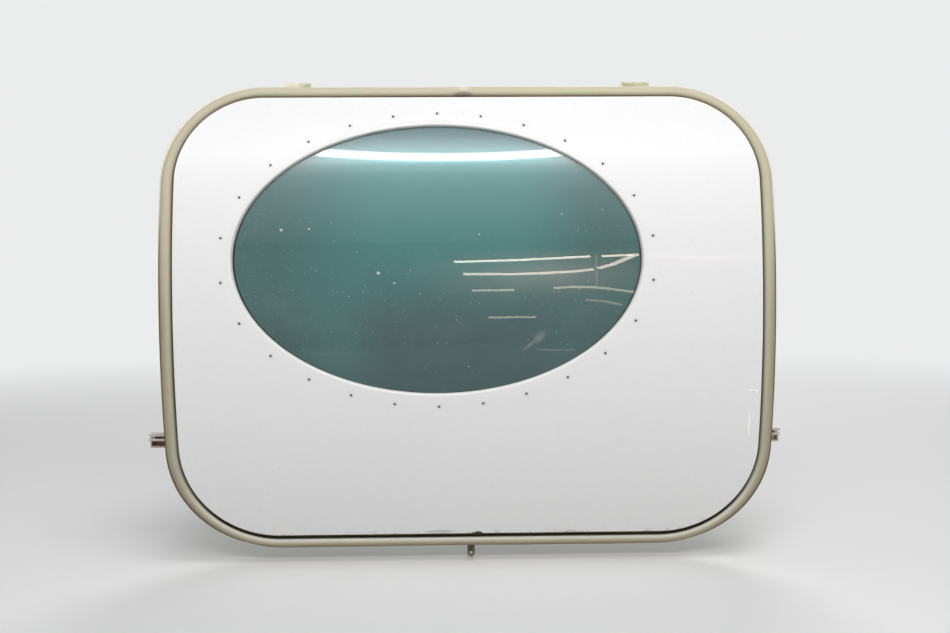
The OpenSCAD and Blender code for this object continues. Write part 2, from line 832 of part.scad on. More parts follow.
outer_skin();
skin_rivets();
land_frame();
bulb_seal();
channel_frame();
channel_rivets();
window_lip();
window_frame();
window_rivets();
outer_gasket();
outer_pane();
pane_spacer();
inner_pane();
inner_gasket();
pane_retainer();
retainer_screws();
anchor_nuts();
upright();
upper_beam();
lower_beam();
beam_rivets();
latch_panel();
panel_rivets();
hook_left();
hook_right();
hook_rivets();
eye_lug();
lug_rivets();
shaft_bush();
left_keeper();
right_keeper();
keeper_rivets();
left_guide();
right_guide();
handle_shaft();
shaft_collar();
crank();
crank_pins();
handle_lever();
end_washer();
end_screw();
left_bar();
left_nose();
left_nose_pin();
left_nose_rivets();
right_bar();
right_nose();
right_nose_pin();
right_nose_rivets();
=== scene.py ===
"""Removable cabin hatch with an oval window: visual pieces, finishes, light and camera."""
import math

import bmesh
import bpy
from bpy.props import FloatProperty, FloatVectorProperty, IntProperty, PointerProperty
from mathutils import Matrix, Vector


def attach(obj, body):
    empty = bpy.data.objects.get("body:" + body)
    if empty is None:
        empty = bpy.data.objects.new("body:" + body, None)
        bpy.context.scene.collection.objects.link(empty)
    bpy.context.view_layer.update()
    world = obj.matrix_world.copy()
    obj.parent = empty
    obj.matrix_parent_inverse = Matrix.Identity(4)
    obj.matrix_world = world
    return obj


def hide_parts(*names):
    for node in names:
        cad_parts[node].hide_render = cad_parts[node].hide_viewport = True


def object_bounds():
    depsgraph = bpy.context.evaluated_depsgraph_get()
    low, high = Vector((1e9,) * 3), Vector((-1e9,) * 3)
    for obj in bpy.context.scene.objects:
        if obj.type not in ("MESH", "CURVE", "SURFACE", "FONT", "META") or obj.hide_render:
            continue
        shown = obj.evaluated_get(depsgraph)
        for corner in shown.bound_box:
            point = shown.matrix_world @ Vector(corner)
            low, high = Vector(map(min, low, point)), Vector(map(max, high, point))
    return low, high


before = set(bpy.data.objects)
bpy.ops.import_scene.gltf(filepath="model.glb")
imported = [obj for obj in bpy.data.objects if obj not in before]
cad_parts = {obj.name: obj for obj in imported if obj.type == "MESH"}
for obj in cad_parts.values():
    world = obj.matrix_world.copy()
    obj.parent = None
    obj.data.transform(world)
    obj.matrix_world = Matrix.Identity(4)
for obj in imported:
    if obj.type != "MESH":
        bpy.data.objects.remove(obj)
CAD_BOX = [list(corner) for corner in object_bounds()]

bl_info = {
    "name": "Cabin hatch",
    "version": (1, 0, 0),
    "blender": (4, 5, 0),
    "location": "View3D > Sidebar > Hatch",
    "description": "Builds the visual pieces of a removable cabin hatch on its packed frame",
    "category": "Object",
}


# Sizes and colours


def length(name, default, description):
    return FloatProperty(name=name, description=description, default=default, precision=5, unit="LENGTH")


def paint(name, default, description):
    return FloatVectorProperty(name=name, description=description, default=default, size=3,
                               min=0.0, max=1.0, subtype="COLOR")


def number(name, default, description):
    return IntProperty(name=name, description=description, default=default, min=8)


class HatchSizes(bpy.types.PropertyGroup):
    """Sizes shared with the solids, in metres"""

    skin_width: length("Skin width", 0.68, "Width of the outer skin")
    skin_height: length("Skin height", 0.522, "Height of the outer skin")
    hull_radius: length("Hull radius", 0.8, "Radius of the curve of the outer face")
    corner_top: length("Upper corners", 0.1, "Radius of the upper corners")
    corner_bottom: length("Lower corners", 0.111, "Radius of the lower corners")
    skin_thick: length("Skin thickness", 0.0013, "Thickness of the skin")
    window_x: length("Window place", -0.036, "Sideways place of the oval")
    window_z: length("Window height", 0.0695, "Height of the oval's middle")
    window_a: length("Window half width", 0.237, "Half of the clear oval's width")
    window_b: length("Window half height", 0.1565, "Half of the clear oval's height")
    lip_width: length("Lip width", 0.0048, "Width of the bevelled lip")
    lip_depth: length("Lip depth", 0.0035, "Depth of the lip's back")
    bead_width: length("Bead width", 0.0008, "How far the sealant bead shows inside the lip")
    rivet_ring: length("Rivet ring", 0.0148, "Distance of the window rivets from the clear oval")
    pane_edge: length("Pane edge", 0.0088, "How far the panes reach past the clear oval")
    outer_pane: length("Outer pane depth", 0.0049, "Depth of the outer pane's front")
    outer_thick: length("Outer pane", 0.0063, "Thickness of the outer pane")
    inner_pane: length("Inner pane depth", 0.0194, "Depth of the inner pane's front")
    inner_thick: length("Inner pane", 0.0032, "Thickness of the inner pane")
    bulb: length("Bulb", 0.0116, "Height of the seal's bulb")
    bulb_width: length("Bulb width", 0.0138, "Width of the seal's bulb")
    bulb_gap: length("Bulb gap", 0.0028, "Gap between the skin and the bulb")
    bulb_depth: length("Bulb depth", 0.0088, "Depth of the bulb's middle")
    seal_drop: length("Seal drop", 0.0022, "Drop of the seal below the skin's middle")
    splice_x: length("Splice place", -0.0049, "Where the ends of the seal meet")
    head_edge: length("Edge rivets", 0.0022, "Radius of the flush heads along the edge")
    head_window: length("Window rivets", 0.003, "Radius of the flush heads round the oval")
    window_count: number("Window rivet count", 26, "Rivets round the oval")
    edge_count: number("Edge rivet count", 60, "Rivets along the skin's edge")


class HatchColours(bpy.types.PropertyGroup):
    """Colours of the finishes"""

    white: paint("White", (0.838, 0.848, 0.842), "Gloss paint of the skin")
    rubber: paint("Seal", (0.51, 0.5, 0.355), "Rubber of the seal")
    # Brown of aged rubber, also laid on as painted shade on the inner side of the seal's top run.
    rubber_brown_and_shade: paint("Seal, brown", (0.33, 0.25, 0.15), "Aged rubber of the seal")
    glass_outer: paint("Outer pane", (0.19, 0.41, 0.4), "Tint of the outer pane")
    # These three vary the outer pane's tint by place, as painted shade and painted reflection of its
    # surroundings.
    glass_side_shade: paint("Outer pane, sides", (0.15, 0.195, 0.188), "Darker tint towards the outer pane's ends")
    glass_low_shade: paint("Outer pane, low", (0.165, 0.215, 0.215), "Smoky tint in the outer pane's lower middle")
    glass_high_shade: paint("Outer pane, high", (0.12, 0.24, 0.25), "Tint along the outer pane's upper rim")
    glass_inner: paint("Inner pane", (0.37, 0.58, 0.57), "Tint of the inner pane")
    primer: paint("Primer", (0.33, 0.33, 0.17), "Primer of the frames")
    aluminium: paint("Aluminium", (0.72, 0.71, 0.69), "Bare aluminium")
    steel: paint("Steel", (0.55, 0.55, 0.54), "Plated steel")
    bronze: paint("Bronze", (0.56, 0.37, 0.18), "Bronze of the bush")
    gasket: paint("Gasket", (0.03, 0.03, 0.032), "Dark rubber of the gaskets")
    sealant: paint("Sealant", (0.62, 0.62, 0.6), "Grey sealant between the lip and the outer pane")
    spacer: paint("Spacer", (0.45, 0.62, 0.6), "Spacer between the panes")
    guide: paint("Guide", (0.55, 0.42, 0.31), "Plastic of the bolt guides")
    handle: paint("Handle", (0.52, 0.035, 0.025), "Plastic of the handle")
    floor: paint("Floor", (0.76, 0.765, 0.76), "Floor of the stage")
    backdrop: paint("Backdrop", (0.83, 0.84, 0.835), "Background of the stage")


def sizes():
    return bpy.context.scene.hatch_sizes


def colours():
    return bpy.context.scene.hatch_colours


def scaled(colour, *shares):
    """A colour with each part times its share."""
    return tuple(part * share for part, share in zip(colour, shares))


# Nodes


def feed(tree, socket, value):
    """Links an input to a socket or sets its value; a colour may come without alpha."""
    if isinstance(value, Sock):
        value = value.socket
    if isinstance(value, bpy.types.NodeSocket):
        tree.links.new(value, socket)
    elif socket.type == "RGBA":
        socket.default_value = (*value[:3], 1.0)
    else:
        socket.default_value = value


def tree_node(tree, kind, inputs=None, settings=None):
    made = tree.nodes.new(kind)
    for key, value in (settings or {}).items():
        setattr(made, key, value)
    for key, value in (inputs or {}).items():
        feed(tree, made.inputs[key], value)
    return made


class Sock:
    """A shader socket that takes part in sums; each operator adds a Math node."""

    def __init__(self, finish, socket):
        self.finish = finish
        self.socket = socket

    def __add__(self, other):
        return self.finish.math("ADD", self, other)

    __radd__ = __add__

    def __sub__(self, other):
        return self.finish.math("SUBTRACT", self, other)

    def __rsub__(self, other):
        return self.finish.math("SUBTRACT", other, self)

    def __mul__(self, other):
        return self.finish.math("MULTIPLY", self, other)

    __rmul__ = __mul__

    def __truediv__(self, other):
        return self.finish.math("DIVIDE", self, other)

    def __pow__(self, other):
        return self.finish.math("POWER", self, other)

    def __abs__(self):
        return self.finish.math("ABSOLUTE", self)


class Finish:
    """The shader nodes of one material, lamp or world."""

    def __init__(self, name, owner=None, output="OutputMaterial"):
        self.name = name
        self.owner = owner or bpy.data.materials.new(name)
        self.owner.use_nodes = True
        self.tree = self.owner.node_tree
        self.tree.nodes.clear()
        self.output = self.tree.nodes.new("ShaderNode" + output)
        self.spot = None
        self.axes = None
        self.colour = None

    def locate(self):
        """Finds the place on the piece, whole and along each axis."""
        self.spot = self.node("TexCoord", output="Object")
        self.axes = self.split(self.spot)

    def node(self, kind, inputs=None, settings=None, output=0):
        return Sock(self, tree_node(self.tree, "ShaderNode" + kind, inputs, settings).outputs[output])

    def math(self, operation, a, b=0.0):
        return self.node("Math", {0: a, 1: b}, {"operation": operation})

    def most(self, first, *others):
        for other in others:
            first = self.math("MAXIMUM", first, other)
        return first

    def stretch(self, spot, scale):
        return self.node("Mapping", {"Vector": spot, "Scale": scale})

    def along(self):
        """Place along and across the seal."""
        return self.node("UVMap", None, {"uv_map": "UVMap"})

    def split(self, vector):
        parts = tree_node(self.tree, "ShaderNodeSeparateXYZ", {0: vector})
        return [Sock(self, out) for out in parts.outputs]

    def noise(self, scale, detail, rough=0.5, spot=None):
        return self.node("TexNoise", {"Vector": spot or self.spot, "Scale": scale,
                                      "Detail": detail, "Roughness": rough})

    def cells(self, scale):
        return self.node("TexVoronoi", {"Vector": self.spot, "Scale": scale}, output="Distance")

    def ease(self, value, low, high):
        return self.node("MapRange", {"Value": value, "From Min": low, "From Max": high},
                         {"interpolation_type": "SMOOTHSTEP"})

    def mix(self, share, first, second):
        return self.node("Mix", {0: share, 6: first, 7: second}, {"data_type": "RGBA"}, 2)

    def bump(self, height, distance, strength):
        return self.node("Bump", {"Height": height, "Distance": distance, "Strength": strength})

    def patch(self, centre, reach, warp=None, edge=0.35, turn=0.0):
        """Soft oval mask round a point in the X-Z plane, its rim broken up by warp."""
        across = self.axes[0] - centre[0]
        up = self.axes[2] - centre[1]
        dx = (across * math.cos(turn) + up * math.sin(turn)) / reach[0]
        dz = (up * math.cos(turn) - across * math.sin(turn)) / reach[1]
        far = (dx * dx + dz * dz) ** 0.5
        if warp is not None:
            far = far + (warp - 0.5) * 1.2
        return 1.0 - self.ease(far, 1.0 - edge, 1.0 + edge)

    def rim_distance(self, drop=0.0):
        """Distance in plan outside the skin's outline, moved down by a drop; negative inside it."""
        size = sizes()
        x, z = self.axes[0], self.axes[2] + drop
        below = self.math("LESS_THAN", z, 0.0)
        radius = below * (size.corner_bottom - size.corner_top) + size.corner_top
        qx = abs(x) - size.skin_width / 2 + radius
        qz = abs(z) - size.skin_height / 2 + radius
        px = self.most(qx, 0.0)
        pz = self.most(qz, 0.0)
        inner = self.math("MINIMUM", self.most(qx, qz), 0.0)
        return (px * px + pz * pz) ** 0.5 + inner - radius

    def rim_fall(self, drop):
        """Nought along the sides, one along the lower edge, and between them round the lower corners."""
        size = sizes()
        px = self.most(abs(self.axes[0]) - (size.skin_width / 2 - size.corner_bottom), 0.0)
        down = (self.axes[2] + drop) * -1.0
        pz = self.most(down - (size.skin_height / 2 - size.corner_bottom), 0.0)
        return pz / ((px * px + pz * pz) ** 0.5 + 0.0001)

    def seen(self):
        """One where the camera looks, directly or by way of gloss or glass."""
        rays = ("Is Camera Ray", "Is Glossy Ray", "Is Transmission Ray")
        return self.most(*(self.node("LightPath", output=ray) for ray in rays))

    def coat(self, share, colour):
        """Lays a colour over the one so far."""
        self.colour = self.mix(share, self.colour, colour)

    def shade(self, **inputs):
        named = {key.replace("_", " "): value for key, value in inputs.items()}
        self.surface("BsdfPrincipled", {"Base Color": self.colour, **named})

    def surface(self, kind, inputs):
        feed(self.tree, self.output.inputs["Surface"], self.node(kind, inputs))


finishes = {}


def finish(name):
    if name not in finishes:
        made = Finish(name)
        made.locate()
        FINISHERS[name](made)
        finishes[name] = made.owner
    return finishes[name]


# Finishes


def white_gloss(f):
    """Sprayed white paint with orange peel, a few chips, grime in the edges and a warm painted highlight
    along the skin's rim.
    """
    white = colours().white
    cloud = f.noise(5.0, 3.0)
    fine = f.noise(420.0, 2.0)
    grit = f.ease(f.noise(760.0, 1.0), 0.735, 0.775)
    rim = f.rim_distance()
    low = f.ease(f.axes[2] * -1.0, 0.2, 0.262)
    # Warm painted highlight in the last millimetre and a half inside the skin's outline, where the rounded
    # edge catches the light.
    edge_tint = f.ease(rim, -0.0016, -0.0002)
    f.colour = f.mix(cloud * 0.6, white, scaled(white, 0.965, 0.97, 0.975))
    f.coat(edge_tint * 0.55, (0.86, 0.79, 0.74))
    f.coat(grit * 0.5, (0.36, 0.34, 0.31))
    grime = f.ease(rim, -0.006, -0.0005) * low * f.ease(f.noise(90.0, 3.0), 0.5, 0.72)
    f.coat(grime * 0.45, (0.42, 0.39, 0.35))
    smear = f.most(f.patch((-0.037, -0.2583), (0.016, 0.0026), fine),
                   f.patch((0.1201, -0.26), (0.009, 0.0022), fine))
    f.coat(smear * 0.4, (0.33, 0.31, 0.29))
    chip = f.most(f.patch((0.0094, -0.2608), (0.0052, 0.0022), fine, 0.15),
                  f.patch((0.0035, -0.2604), (0.0024, 0.0011), fine, 0.2) * 0.7)
    f.coat(chip, (0.07, 0.06, 0.05))
    scuff = f.most(f.patch((0.3305, -0.0853), (0.0055, 0.0009), fine, 0.3),
                   f.patch((0.3352, -0.0868), (0.0009, 0.0026), fine, 0.3),
                   f.patch((0.3275, -0.1242), (0.0012, 0.015), fine, 0.5) * 0.9)
    f.coat(scuff, (1.0, 1.0, 0.93))
    ripple = f.noise(9.0, 1.0) * 6.0 + f.noise(240.0, 2.0) * 0.1
    height = ripple + grit * 0.05 - chip * 0.8
    rough = 0.34 + fine * 0.06 + grime * 0.3 + scuff * 0.25 + chip * 0.4
    f.shade(Roughness=rough, Coat_Weight=0.16, Coat_Roughness=0.05, IOR=1.3,
            Normal=f.bump(height, 0.0002, 0.5))


def rivet_paint(f):
    """The same paint over a rivet's head, a touch duller."""
    white = colours().white
    cloud = f.noise(260.0, 2.0)
    f.colour = f.mix(cloud * 0.8, scaled(white, 0.985, 0.985, 0.98), scaled(white, 0.92, 0.92, 0.91))
    f.shade(Roughness=0.24 + cloud * 0.12, Coat_Weight=0.2, Coat_Roughness=0.1, IOR=1.46,
            Normal=f.bump(cloud, 0.00004, 0.5))


def rivet_seam(f):
    """Thin ring of settled dirt round a flush head."""
    patchy = f.noise(330.0, 2.0)
    f.colour = f.mix(f.ease(patchy, 0.35, 0.7), (0.72, 0.71, 0.69), (0.55, 0.53, 0.5))
    f.shade(Roughness=0.45 + patchy * 0.2, Normal=f.bump(patchy, 0.00003, 0.5))


def stem_pit_shade(f):
    """Near-black disc on a blind rivet's stem: painted shade of the pit round the stem."""
    patchy = f.noise(900.0, 2.0)
    f.colour = f.mix(f.ease(patchy, 0.3, 0.7), (0.025, 0.023, 0.021), (0.075, 0.07, 0.066))
    f.shade(Roughness=0.5 + patchy * 0.25, Metallic=0.3, Normal=f.bump(patchy, 0.0001, 0.6))


def seal_rubber(f):
    """Aged tan rubber, mottled along its length and smeared at the splice; browner outside low down, partly
    from age and partly as painted shade; painted shade on its lower sides, on the inner side of its top run
    and in the gap by the skin; a painted highlight along its inner side at the bottom.
    """
    size = sizes()
    tan = colours().rubber
    streak = f.noise(1.0, 3.0, 0.6, f.stretch(f.along(), (34.0, 3.2, 1.0)))
    patchy = f.noise(1.0, 2.0, 0.5, f.stretch(f.along(), (11.0, 1.6, 1.0)))
    fine = f.noise(700.0, 3.0, 0.6)
    green = f.ease(patchy, 0.4, 0.66)
    rim = f.rim_distance(size.seal_drop)
    green = green * (1.0 - f.ease(rim, 0.006, 0.0135))
    f.colour = f.mix(green, scaled(tan, 1.03, 0.98, 0.98), scaled(tan, 0.9, 1.03, 0.9))
    f.coat(f.ease(streak, 0.48, 0.72) * 0.5, (0.54, 0.45, 0.34))
    high = f.ease(f.axes[2], 0.2, 0.25)
    low = f.ease(f.axes[2] * -1.0, -0.12, 0.03)
    under = f.ease(f.rim_fall(size.seal_drop), 0.2, 0.85)
    outside = f.ease(rim, 0.0075, 0.0165)
    shade = (1.0 - f.ease(rim, 0.0035, 0.011)) * high
    # Painted shade: the seal's sides are darker low down.
    f.coat(low * (1.0 - under) * 0.46, scaled(tan, 0.6, 0.59, 0.56))
    # Brown on the outer side low down, partly aged rubber and partly painted shade; on the inner side of the
    # top run it is painted shade alone.
    f.coat(f.most(outside * low * 0.75, shade * 0.55), colours().rubber_brown_and_shade)
    # Painted shade: dark brown on the outer side of the seal along the bottom and round the lower corners.
    f.coat(f.ease(rim, 0.0095, 0.0175) * under * 0.55, (0.13, 0.085, 0.05))
    # Painted highlight: pale along the seal's inner side in its lower part, strongest along the bottom.
    painted_highlight = low * (1.0 - f.ease(rim, 0.0055, 0.0105)) * (0.2 + under * 0.7)
    f.coat(painted_highlight, (0.84, 0.85, 0.75))
    # Painted shade: near black on the seal's inner flank, in the gap by the skin's edge, except along the
    # top.
    slot = (1.0 - f.ease(rim, 0.0034, 0.0052)) * (1.0 - high)
    f.coat(slot * (0.35 + under * 0.6), (0.02, 0.016, 0.012))
    f.coat(f.ease(fine, 0.6, 0.78) * 0.4, (0.25, 0.22, 0.16))
    top = f.ease(f.axes[2], 0.2, 0.22)
    joint = top * f.patch((size.splice_x, 0.2648), (0.011, 0.0038), fine, 0.5)
    f.coat(joint * 0.7, (0.17, 0.13, 0.11))
    pale = top * f.patch((size.splice_x + 0.001, 0.2725), (0.006, 0.003), fine, 0.5)
    f.coat(pale * 0.5, (0.7, 0.67, 0.58))
    height = fine * 0.35 + streak * 0.8
    f.shade(Roughness=0.52 + fine * 0.2, IOR=1.5, Normal=f.bump(height, 0.00035, 0.6))


def tinted_pane(f):
    """Stretched acrylic with dust, a few bright specks and a wiped smear; the outer pane's tint also varies
    by place as painted shade and painted reflection of its surroundings.
    """
    tint = colours().glass_inner
    if "outer" in f.name:
        across = f.axes[0] - sizes().window_x
        low = f.ease(f.axes[2] * -1.0, -0.05, 0.05)
        # Painted shade and painted reflection in the outer pane's tint: darker towards its ends and low down,
        # greyer in its lower middle, darker along its upper rim.
        side_shade = f.most(f.ease(across * -1.0, 0.04, 0.2), f.ease(across, 0.08, 0.2))
        lower_shade = f.ease(f.axes[2] * -1.0, -0.1, 0.025) * (1.0 - f.ease(abs(f.axes[0] + 0.01), 0.08, 0.19))
        tint = f.mix(side_shade * (0.62 + low * 0.38), colours().glass_outer, colours().glass_side_shade)
        tint = f.mix(lower_shade, tint, colours().glass_low_shade)
        tint = f.mix(f.ease(f.axes[2], 0.17, 0.225), tint, colours().glass_high_shade)
    fine = f.noise(500.0, 2.0)
    dust = f.ease(f.noise(640.0, 2.0), 0.7, 0.78) * 0.5
    film = f.ease(f.noise(4.0, 4.0, 0.6, f.stretch(f.spot, (3.0, 1.0, 9.0))), 0.5, 0.85) * 0.03
    speck = (1.0 - f.ease(f.cells(105.0), 0.02, 0.06)) * f.ease(f.noise(25.0, 2.0), 0.42, 0.6)
    veil = dust + film + speck * 0.3
    if "outer" in f.name:
        for x, z, reach in ((-0.2166, 0.1043, 0.0016), (-0.1843, 0.1053, 0.0012), (-0.1047, 0.054, 0.0019),
                            (-0.0863, 0.0424, 0.0013), (0.0121, 0.0981, 0.0009), (0.1082, 0.121, 0.0008)):
            veil = f.most(veil, f.patch((x, z), (reach, reach * 0.8), fine, 0.5) * 0.7)
        smear = f.patch((0.081, -0.0216), (0.0072, 0.0038), None, 0.9, 0.75) * 0.15
        tail = f.patch((0.0715, -0.0288), (0.0115, 0.0018), None, 0.9, 0.68) * 0.13
        veil = f.most(veil, smear, tail)
    veil = f.math("MINIMUM", veil, 0.95)
    rust = f.patch((-0.0818, 0.0273), (0.003, 0.003), fine, 0.3)
    colour = f.mix(rust, (0.8, 0.8, 0.77), (0.8, 0.36, 0.12))
    glass = f.node("BsdfPrincipled",
                   {"Base Color": tint, "Roughness": 0.0, "IOR": 1.49, "Transmission Weight": 1.0})
    grime = f.node("BsdfPrincipled", {"Base Color": colour, "Roughness": 0.8})
    f.surface("MixShader", {0: veil, 1: glass, 2: grime})


def frame_primer(f):
    """Khaki green primer on pressed sheet, with dust and scratches; the land's rim is pale up high as a
    painted highlight and dark brown low down as painted shade, and painted shade darkens the gap by the skin.
    """
    base = colours().primer
    cloud = f.noise(14.0, 4.0, 0.6)
    fine = f.noise(520.0, 3.0)
    scratch = f.ease(f.noise(1.0, 2.0, 0.5, f.stretch(f.spot, (14.0, 40.0, 900.0))), 0.66, 0.72)
    f.colour = f.mix(f.ease(cloud, 0.35, 0.68), base, scaled(base, 0.72, 0.74, 0.7))
    f.coat(f.ease(fine, 0.55, 0.8) * 0.4, scaled(base, 1.5, 1.45, 1.6))
    f.coat(scratch * 0.5, (0.56, 0.55, 0.5))
    rim = f.rim_distance(sizes().seal_drop)
    lit = f.ease(f.axes[2], 0.06, 0.16)
    land_rim = f.ease(rim, 0.0166, 0.0176)
    # Painted shade: near black on the land in the narrow gap just outside the skin's edge, at the front.
    gap = (1.0 - f.ease(abs(rim - 0.001), 0.004, 0.006)) * (1.0 - f.ease(f.axes[1], 0.055, 0.06))
    f.coat(gap * 0.8, (0.02, 0.016, 0.012))
    # The land's rim: pale in its upper part as a painted highlight, dark brown lower down as painted shade.
    edge = f.mix(lit, (0.13, 0.1, 0.06), (0.82, 0.77, 0.73))
    f.coat(land_rim * (0.8 + f.noise(60.0, 2.0) * 0.2), edge)
    f.shade(Roughness=0.5 + cloud * 0.2 - scratch * 0.15, Metallic=scratch * 0.4,
            Normal=f.bump(fine * 0.4 + cloud, 0.0002, 0.5))


def hook_primer(f):
    """Primer on the tabs, scuffed through to pale metal at their ends; the eye lug takes a dark brown copy of
    the primer as painted shade.
    """
    lug = f.name == "lug_shaded_primer"
    # The lug's dark brown is painted shade: the lug sits mostly in shadow.
    base = (0.15, 0.125, 0.07) if lug else (0.47, 0.46, 0.3)
    cloud = f.noise(90.0, 3.0, 0.6)
    f.colour = f.mix(f.ease(cloud, 0.38, 0.6), scaled(base, 1.25, 1.3, 1.25),
                     scaled(base, 0.95, 1.02, 0.95))
    end = f.ease(f.axes[2], 0.2795, 0.2828)
    sides = f.ease(abs(abs(f.axes[0]) - 0.204), 0.0125, 0.0185)
    edge_tint = f.most(end * 0.5, sides) * f.ease(f.noise(160.0, 2.0), 0.28, 0.55)
    edge_tint = f.most(edge_tint, f.ease(f.axes[0] * -1.0, 0.196, 0.206) * 0.75)
    edge_tint = edge_tint * (0.0 if lug else 1.0)
    f.coat(edge_tint, (0.85, 0.79, 0.68))
    f.shade(Roughness=0.5 + cloud * 0.2, Metallic=edge_tint * 0.3, Normal=f.bump(cloud, 0.0002, 0.5))


def worn_metal(f):
    """Brushed metal with fine scratches and dull patches; on the latch noses, painted shade on the left
    nose's lower block and in its pocket, and a light peach in the right nose's pocket as painted light.
    """
    tone = {"bare_aluminium": colours().aluminium, "plated_steel": colours().steel,
            "bush_bronze": colours().bronze, "latch_nose": (0.56, 0.5, 0.48)}[f.name]
    brush = f.noise(1.0, 3.0, 0.6, f.stretch(f.spot, (30.0, 700.0, 900.0)))
    dull = f.noise(60.0, 4.0, 0.6)
    pit = f.ease(f.noise(900.0, 2.0), 0.68, 0.76)
    f.colour = f.mix(f.ease(dull, 0.4, 0.7) * 0.6, tone, scaled(tone, 0.68, 0.67, 0.65))
    f.coat(pit * 0.5, (0.16, 0.14, 0.12))
    metal = 0.95
    if f.name == "latch_nose":
        pocket = f.ease(f.axes[1], 0.0545, 0.0575) * (1.0 - f.ease(f.axes[1], 0.0588, 0.0594))
        right = f.math("GREATER_THAN", f.axes[0], 0.0)
        # Painted shade: brown on the left nose's lower block.
        left_block_shade = f.ease(f.axes[2] * -1.0, 0.1435, 0.1475) * (1.0 - right)
        f.coat(left_block_shade * 0.45, (0.3, 0.22, 0.15))
        # The pocket: dark brown on the left nose as painted shade, light peach on the right nose as painted
        # light against the recess's own shade.
        f.coat(pocket * 0.9, f.mix(right, (0.2, 0.115, 0.045), (0.9, 0.76, 0.62)))
        metal = 0.5 - pocket * 0.3
    f.shade(Metallic=metal - dull * 0.25, Roughness=0.26 + brush * 0.16 + dull * 0.16,
            Normal=f.bump(brush * 0.5 - pit, 0.00008, 0.6))


def gasket_rubber(f):
    """Rubber or sealant with settled dust."""
    tone = {"pane_sealant": colours().sealant, "spacer_teal": colours().spacer,
            "gasket_rubber": colours().gasket}[f.name]
    fine = f.noise(600.0, 3.0)
    dust = f.ease(f.noise(40.0, 3.0), 0.45, 0.75)
    f.colour = f.mix(dust * 0.5, tone, (tone[0] * 0.8 + 0.08, tone[1] * 0.8 + 0.075, tone[2] * 0.8 + 0.07))
    f.shade(Roughness=0.6 + fine * 0.2, Normal=f.bump(fine, 0.0001, 0.6))


def moulded_plastic(f):
    """Moulded plastic with a fine grain, scuffed where hands or bolts touch it."""
    tone = colours().handle if f.name == "handle_red" else colours().guide
    grain = f.cells(1400.0)
    cloud = f.noise(30.0, 3.0)
    rub = f.ease(f.noise(70.0, 4.0, 0.65), 0.55, 0.75)
    f.colour = f.mix(cloud * 0.5, tone, scaled(tone, 0.8, 0.8, 0.8))
    f.coat(rub * 0.25, (tone[0] * 1.25, tone[1] * 1.4 + 0.01, tone[2] * 1.4 + 0.01))
    f.shade(Roughness=0.34 + cloud * 0.14 + rub * 0.1, IOR=1.5, Normal=f.bump(grain, 0.00012, 0.35))


FINISHERS = {maker.__name__: maker for maker in (
    white_gloss, rivet_paint, rivet_seam, stem_pit_shade, seal_rubber, frame_primer, hook_primer, gasket_rubber)}
FINISHERS.update({name: maker for maker, names in (
    (tinted_pane, ("outer_acrylic", "inner_acrylic")),
    (hook_primer, ("lug_shaded_primer",)),
    (worn_metal, ("bare_aluminium", "plated_steel", "bush_bronze", "latch_nose")),
    (gasket_rubber, ("pane_sealant", "spacer_teal")),
    (moulded_plastic, ("guide_tan", "handle_red")),
) for name in names})


# Shapes


def on_hull(x, z, depth):
    """Point behind the outer face at a depth."""
    radius = sizes().hull_radius
    return (x, radius - math.sqrt((radius - depth) ** 2 - z * z), z)


def between(a, b, share):
    return (a[0] + (b[0] - a[0]) * share, a[1] + (b[1] - a[1]) * share)


def edge_sizes(offset):
    """Half width, half height and the upper and lower corner radius of the outline moved out by an offset."""
    size = sizes()
    return (size.skin_width / 2 + offset, size.skin_height / 2 + offset,
            size.corner_top + offset, size.corner_bottom + offset)


def edge_length(offset):
    w, h, rt, rb = edge_sizes(offset)
    return 2 * (w - rt + math.pi * rt / 2 + 2 * h - rt - rb + math.pi * rb / 2 + w - rb)


def edge_at(s, offset):
    """Place and outward normal in plan at a distance s along the outline, clockwise from the top."""
    w, h, rt, rb = edge_sizes(offset)
    whole = edge_length(offset)
    s = s % whole
    if s > whole / 2:
        x, z, nx, nz = edge_at(whole - s, offset)
        return (-x, z, -nx, nz)
    a = w - rt
    b = a + math.pi * rt / 2
    c = b + 2 * h - rt - rb
    d = c + math.pi * rb / 2
    if s <= a:
        return (s, h, 0.0, 1.0)
    if s <= b:
        t = (s - a) / rt
        return (a + rt * math.sin(t), h - rt + rt * math.cos(t), math.sin(t), math.cos(t))
    if s <= c:
        return (w, h - rt - (s - b), 1.0, 0.0)
    if s <= d:
        t = (s - c) / rb
        return (w - rb + rb * math.cos(t), rb - h - rb * math.sin(t), math.cos(t), -math.sin(t))
    return (w - rb - (s - d), -h, 0.0, -1.0)


def oval_at(t, out):
    size = sizes()
    return (size.window_x + (size.window_a + out) * math.sin(t),
            size.window_z + (size.window_b + out) * math.cos(t))


def oval_steps(count, out):
    """Angles at equal steps along the oval, the first at its top."""
    fine = 3600
    points = [oval_at(2 * math.pi * i / fine, out) for i in range(fine + 1)]
    run = [0.0]
    for p, q in zip(points, points[1:]):
        run.append(run[-1] + math.dist(p, q))
    steps = []
    i = 0
    for k in range(count):
        goal = run[-1] * k / count
        while run[i + 1] < goal:
            i += 1
        steps.append(2 * math.pi * (i + (goal - run[i]) / (run[i + 1] - run[i])) / fine)
    return steps


def tube_mesh(sections, closed=True):
    """Vertices and faces of a tube through closed sections; an open run is capped at both ends."""
    n = len(sections)
    m = len(sections[0])
    verts = [p for section in sections for p in section]
    faces = []
    for i in range(n if closed else n - 1):
        k = (i + 1) % n
        for j in range(m):
            right = (j + 1) % m
            faces.append((i * m + j, i * m + right, k * m + right, k * m + j))
    if not closed:
        faces.append(tuple(range(m)))
        faces.append(tuple((n - 1) * m + j for j in reversed(range(m))))
    return verts, faces


def add_object(name, data):
    made = bpy.data.objects.new(name, data)
    bpy.context.scene.collection.objects.link(made)
    return made


